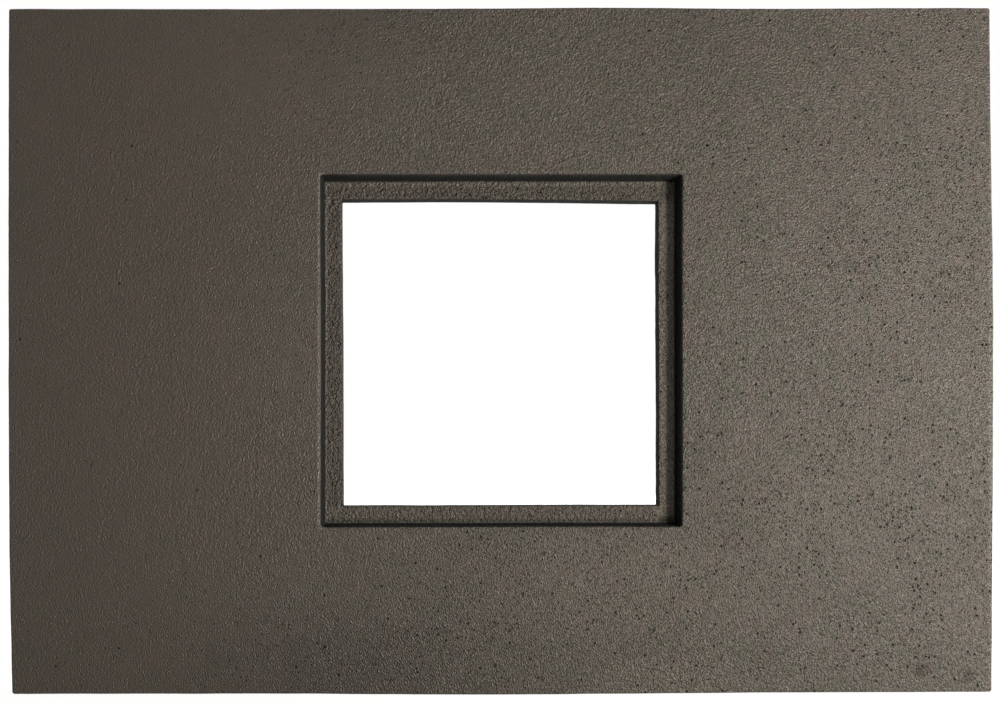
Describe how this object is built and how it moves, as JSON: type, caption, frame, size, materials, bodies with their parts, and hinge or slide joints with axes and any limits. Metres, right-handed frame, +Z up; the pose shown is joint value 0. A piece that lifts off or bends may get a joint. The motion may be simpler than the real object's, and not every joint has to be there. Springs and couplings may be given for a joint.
{
  "type": "fireback",
  "caption": "Flat sand-cast iron fireback plate with a nearly square central opening and a stepped rebate round it that seats a loose insert.",
  "frame": {"origin": "middle of the bottom of the slab's box: the plate stands on its long bottom edge", "axes": "+X along the plate's length, to the right seen from the front; the front with the rebate faces -Y and the flat back +Y; +Z up"},
  "size_m": [0.5, 0.015, 0.35],
  "materials": {
    "cast_iron": "raw sand-cast iron, warm dark grey, fine orange-peel grain with small pits, satin"
  },
  "bodies": {
    "root": {"fireback_plate": "cast_iron"}
  },
  "joints": []
}
